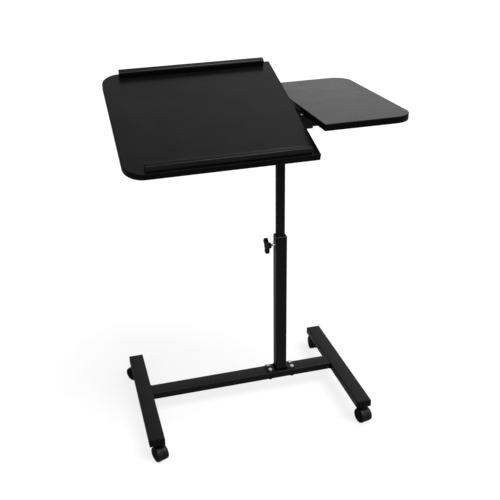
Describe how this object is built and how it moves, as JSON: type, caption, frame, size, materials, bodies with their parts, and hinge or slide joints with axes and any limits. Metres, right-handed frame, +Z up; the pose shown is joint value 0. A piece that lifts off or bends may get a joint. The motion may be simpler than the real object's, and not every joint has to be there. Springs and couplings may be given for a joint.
{
  "type": "mobile laptop table",
  "caption": "Rolling laptop table: H-shaped base on casters, clamped telescopic column, fixed side board and a tilting main board with stop ledges.",
  "frame": {"origin": "on the floor, at the middle of the table's outline seen from above, at the pictured pose", "axes": "+X from the main board towards the side board, +Y away from the seated user, +Z up"},
  "size_m": [0.6646, 0.4246, 0.9035],
  "materials": {
    "board_black": "black melamine-faced particleboard, satin",
    "steel_black": "black powder coat, satin",
    "plastic_black": "moulded black plastic, matt",
    "wheel_black": "moulded black nylon, satin",
    "zinc": "bright zinc plating"
  },
  "bodies": {
    "base": {"clamp_nut": "zinc", "column_bolt_1": "zinc", "column_bolt_2": "zinc", "column_bolt_3": "zinc", "column_bolt_4": "zinc", "column_nut_1": "zinc", "column_nut_2": "zinc", "column_nut_3": "zinc", "column_nut_4": "zinc", "cross_beam": "steel_black", "front_left_caster_stem": "zinc", "front_right_caster_stem": "zinc", "guide_bush": "plastic_black", "left_leg": "steel_black", "left_leg_front_plug": "plastic_black", "left_leg_rear_plug": "plastic_black", "outer_column": "steel_black", "rear_left_caster_stem": "zinc", "rear_right_caster_stem": "zinc", "right_leg": "steel_black", "right_leg_front_plug": "plastic_black", "right_leg_rear_plug": "plastic_black"},
    "upper": {"inner_column": "steel_black", "inner_column_plug": "plastic_black", "column_head": "steel_black", "side_arm": "steel_black", "side_arm_bolt_1": "zinc", "side_arm_bolt_2": "zinc", "tilt_tube": "steel_black", "side_board": "board_black", "side_board_screw_1": "zinc", "side_board_screw_2": "zinc"},
    "main_top": {"main_board": "board_black", "front_ledge": "board_black", "rear_ledge": "board_black", "left_saddle": "plastic_black", "right_saddle": "plastic_black", "saddle_screw_1": "zinc", "saddle_screw_2": "zinc", "saddle_screw_3": "zinc", "saddle_screw_4": "zinc"},
    "clamp_tip": {"clamp_pad": "plastic_black"},
    "clamp_grip": {"clamp_knob": "plastic_black", "clamp_screw": "zinc"},
    "front_left_caster": {"front_left_caster_hood": "plastic_black", "front_left_caster_axle": "zinc"},
    "front_left_wheel_left": {"front_left_wheel_left": "wheel_black"},
    "front_left_wheel_right": {"front_left_wheel_right": "wheel_black"},
    "front_right_caster": {"front_right_caster_hood": "plastic_black", "front_right_caster_axle": "zinc"},
    "front_right_wheel_left": {"front_right_wheel_left": "wheel_black"},
    "front_right_wheel_right": {"front_right_wheel_right": "wheel_black"},
    "rear_left_caster": {"rear_left_caster_hood": "plastic_black", "rear_left_caster_axle": "zinc"},
    "rear_left_wheel_left": {"rear_left_wheel_left": "wheel_black"},
    "rear_left_wheel_right": {"rear_left_wheel_right": "wheel_black"},
    "rear_right_caster": {"rear_right_caster_hood": "plastic_black", "rear_right_caster_axle": "zinc"},
    "rear_right_wheel_left": {"rear_right_wheel_left": "wheel_black"},
    "rear_right_wheel_right": {"rear_right_wheel_right": "wheel_black"}
  },
  "joints": [
    {"name": "height_slide", "type": "slide", "parent": "base", "child": "upper", "axis": [0, 0, 1], "range_m": [-0.265, 0.045]},
    {"name": "main_board_tilt", "type": "hinge", "parent": "upper", "child": "main_top", "pos_m": [0.0863, 0.00385, 0.7813], "axis": [1, 0, 0], "range_deg": [-48.5, 16.5]},
    {"name": "clamp_travel", "type": "slide", "parent": "base", "child": "clamp_tip", "axis": [-1, 0, 0], "range_m": [0, 0.002]},
    {"name": "clamp_turn", "type": "hinge", "parent": "clamp_tip", "child": "clamp_grip", "pos_m": [0.0713, 0.00985, 0.4563], "axis": [-1, 0, 0], "range_deg": [0, 721]},
    {"name": "front_left_swivel", "type": "hinge", "parent": "base", "child": "front_left_caster", "pos_m": [-0.2997, -0.17465, 0.045], "axis": [0, 0, 1], "continuous": true},
    {"name": "front_left_wheel_left_spin", "type": "hinge", "parent": "front_left_caster", "child": "front_left_wheel_left", "pos_m": [-0.29594, -0.18931, 0.02], "axis": [0.9272, 0.3746, 0], "continuous": true},
    {"name": "front_left_wheel_right_spin", "type": "hinge", "parent": "front_left_caster", "child": "front_left_wheel_right", "pos_m": [-0.29223, -0.18781, 0.02], "axis": [0.9272, 0.3746, 0], "continuous": true},
    {"name": "front_right_swivel", "type": "hinge", "parent": "base", "child": "front_right_caster", "pos_m": [0.2503, -0.17465, 0.045], "axis": [0, 0, 1], "continuous": true},
    {"name": "front_right_wheel_left_spin", "type": "hinge", "parent": "front_right_caster", "child": "front_right_wheel_left", "pos_m": [0.25172, -0.18972, 0.02], "axis": [0.9744, 0.225, 0], "continuous": true},
    {"name": "front_right_wheel_right_spin", "type": "hinge", "parent": "front_right_caster", "child": "front_right_wheel_right", "pos_m": [0.25562, -0.18882, 0.02], "axis": [0.9744, 0.225, 0], "continuous": true},
    {"name": "rear_left_swivel", "type": "hinge", "parent": "base", "child": "rear_left_caster", "pos_m": [-0.2997, 0.16235, 0.045], "axis": [0, 0, 1], "continuous": true},
    {"name": "rear_left_wheel_left_spin", "type": "hinge", "parent": "rear_left_caster", "child": "rear_left_wheel_left", "pos_m": [-0.30713, 0.17553, 0.02], "axis": [-0.7986, -0.6018, 0], "continuous": true},
    {"name": "rear_left_wheel_right_spin", "type": "hinge", "parent": "rear_left_caster", "child": "rear_left_wheel_right", "pos_m": [-0.31033, 0.17312, 0.02], "axis": [-0.7986, -0.6018, 0], "continuous": true},
    {"name": "rear_right_swivel", "type": "hinge", "parent": "base", "child": "rear_right_caster", "pos_m": [0.2503, 0.16235, 0.045], "axis": [0, 0, 1], "continuous": true},
    {"name": "rear_right_wheel_left_spin", "type": "hinge", "parent": "rear_right_caster", "child": "rear_right_wheel_left", "pos_m": [0.2536, 0.17712, 0.02], "axis": [-0.9962, 0.0872, 0], "continuous": true},
    {"name": "rear_right_wheel_right_spin", "type": "hinge", "parent": "rear_right_caster", "child": "rear_right_wheel_right", "pos_m": [0.24961, 0.17747, 0.02], "axis": [-0.9962, 0.0872, 0], "continuous": true}
  ],
  "couplings": [
    {"joint": "clamp_turn", "follows": "clamp_travel", "rad_per_m": 6283.2}
  ]
}
